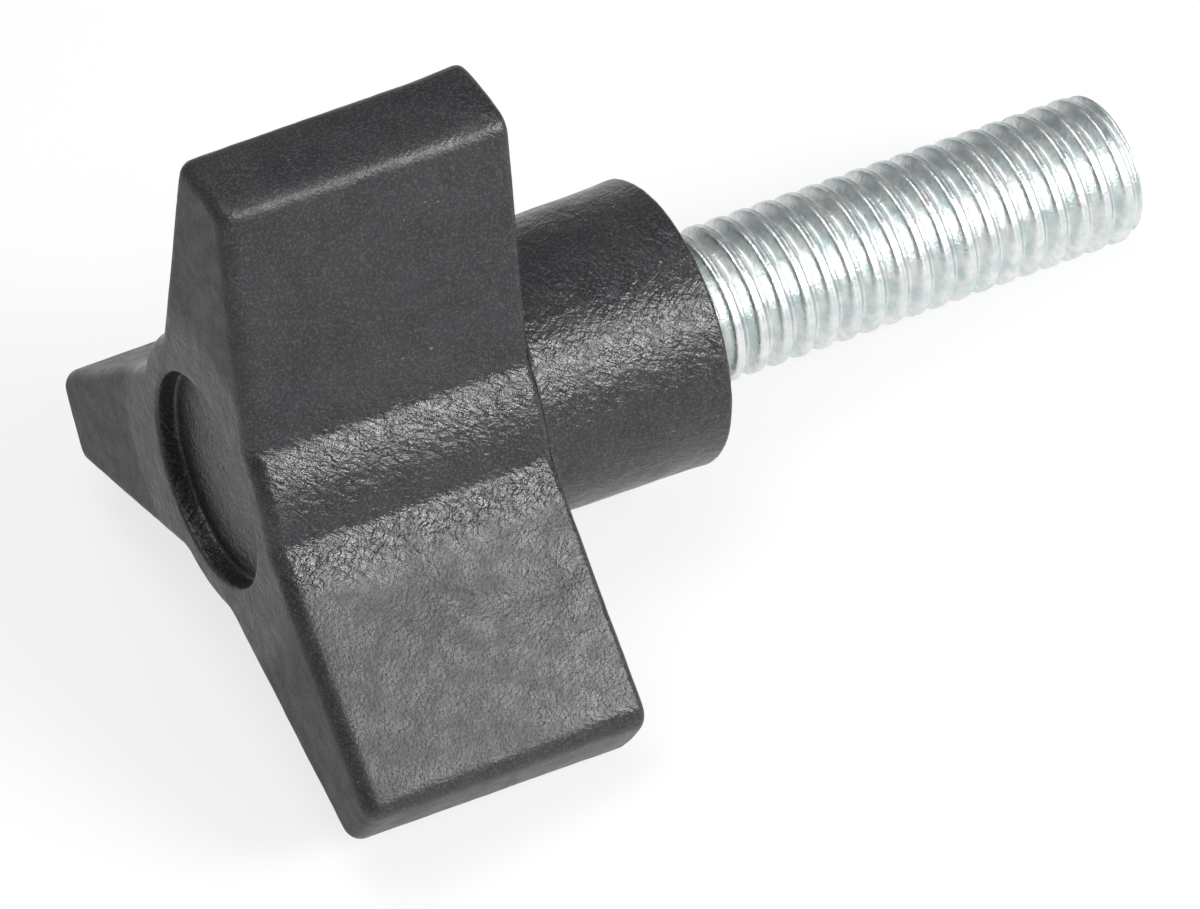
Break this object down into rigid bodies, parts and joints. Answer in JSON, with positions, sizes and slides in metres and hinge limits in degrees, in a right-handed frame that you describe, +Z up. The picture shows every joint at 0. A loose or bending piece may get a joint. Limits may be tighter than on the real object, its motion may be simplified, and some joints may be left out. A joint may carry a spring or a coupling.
{
  "type": "thumb screw",
  "caption": "Hand-tightened thumb screw: black moulded knob with three lobes, a round hub and a shallow recess, on a bright threaded steel stud.",
  "frame": {"origin": "on the bench that the screw lies on, under the middle of its box", "axes": "+Z up; +X the level direction from the knob to the stud's end; the upper lobe stands in the XZ plane"},
  "size_m": [0.0632, 0.0418, 0.0388],
  "materials": {
    "black_plastic": "as moulded, fine leathery texture",
    "zinc_plated_steel": "bright zinc plate over a rolled thread"
  },
  "bodies": {
    "root": {"knob": "black_plastic", "stud": "zinc_plated_steel"}
  },
  "joints": []
}
